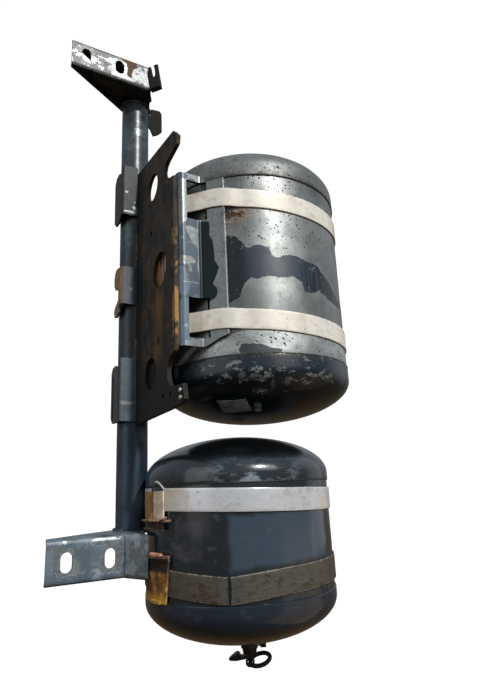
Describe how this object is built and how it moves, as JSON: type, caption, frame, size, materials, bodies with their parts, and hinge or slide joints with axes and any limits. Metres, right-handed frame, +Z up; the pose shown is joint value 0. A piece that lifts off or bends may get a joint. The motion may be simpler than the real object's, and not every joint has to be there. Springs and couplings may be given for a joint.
{
  "type": "air receiver tank",
  "caption": "Two cylindrical compressed-air reservoirs strapped to a tube-and-bracket carrier, with a pull-ring drain valve under the lower one.",
  "frame": {"origin": "on the lower bracket's front mounting face, midway between its two slots", "axes": "+Z up along the carrier tube, -Y outward from the mounting faces, +X from the brackets towards the tanks"},
  "size_m": [0.4596, 0.3048, 1.0295],
  "materials": {
    "painted_tube": "worn blue-grey paint, satin, scuffed",
    "bare_bracket": "scraped bare plate with grey paint remains",
    "worn_bracket": "scraped blue-grey paint",
    "dark_bracket": "dark, weathered",
    "rusty_plate": "rusted plate, matt",
    "painted_hook": "grey-blue paint over brown rust",
    "yellow_hook": "grey-blue paint over ochre rust",
    "painted_saddle": "blue-grey paint with pale primer patches",
    "worn_tank": "bare pitted steel with slate-blue paint remains",
    "dark_tank": "glossy dark slate paint, scuffed",
    "pale_steel": "brushed, lightly stained",
    "dull_steel": "oxidised, matt",
    "rusty_clip": "orange rust",
    "bright_stud": "bright",
    "hidden_steel": "plated, dull",
    "data_plate": "blank, satin",
    "black_valve": "black, semi-gloss",
    "black_rubber": "matt"
  },
  "bodies": {
    "carrier": {"drain_boss": "dark_tank", "drain_side_plug": "black_valve", "drain_spring": "hidden_steel", "drain_valve_body": "black_valve", "gusset_plate": "rusty_plate", "lower_end_bracket": "worn_bracket", "plate_stud_lower": "bright_stud", "plate_stud_upper": "bright_stud", "saddle_bracket": "painted_saddle", "support_tube": "painted_tube", "tank1_bottom_dome": "worn_tank", "tank1_bottom_port_boss": "worn_tank", "tank1_bottom_port_plug": "hidden_steel", "tank1_data_plate": "data_plate", "tank1_shell": "worn_tank", "tank1_strap_lower": "pale_steel", "tank1_strap_upper": "pale_steel", "tank1_top_dome": "worn_tank", "tank1_top_port_boss": "worn_tank", "tank1_top_port_plug": "hidden_steel", "tank2_bottom_dome": "dark_tank", "tank2_clip_lower": "rusty_clip", "tank2_clip_upper": "rusty_clip", "tank2_seat": "dark_bracket", "tank2_shell": "dark_tank", "tank2_strap_lower_left": "dull_steel", "tank2_strap_lower_right": "dull_steel", "tank2_strap_upper": "pale_steel", "tank2_top_dome": "dark_tank", "tank2_top_port_boss": "dark_tank", "tank2_top_port_plug": "hidden_steel", "tension_nut_lower_far": "hidden_steel", "tension_nut_lower_near": "hidden_steel", "tension_nut_upper_far": "hidden_steel", "tension_nut_upper_near": "hidden_steel", "tension_rod_lower": "hidden_steel", "tension_rod_upper": "hidden_steel", "tube_clip_tab": "dark_bracket", "tube_hook_lower": "painted_hook", "tube_hook_middle": "yellow_hook", "tube_hook_upper": "painted_hook", "upper_bracket_fork": "dark_bracket", "upper_end_bracket": "bare_bracket"},
    "drain_stem": {"drain_stem": "black_valve", "drain_seal": "black_rubber", "drain_lever": "black_valve"},
    "pull_ring": {"drain_pull_ring": "black_valve"}
  },
  "joints": [
    {"name": "stem_tilt", "type": "hinge", "parent": "carrier", "child": "drain_stem", "pos_m": [0.221, -0.049, -0.1302], "axis": [0.5, 0.866, 0], "range_deg": [-8, 8], "stiffness_Nm_per_rad": 0.08},
    {"name": "ring_swing", "type": "hinge", "parent": "drain_stem", "child": "pull_ring", "pos_m": [0.221, -0.049, -0.1555], "axis": [0.483, 0.8365, 0.2588], "range_deg": [-10, 110]}
  ]
}
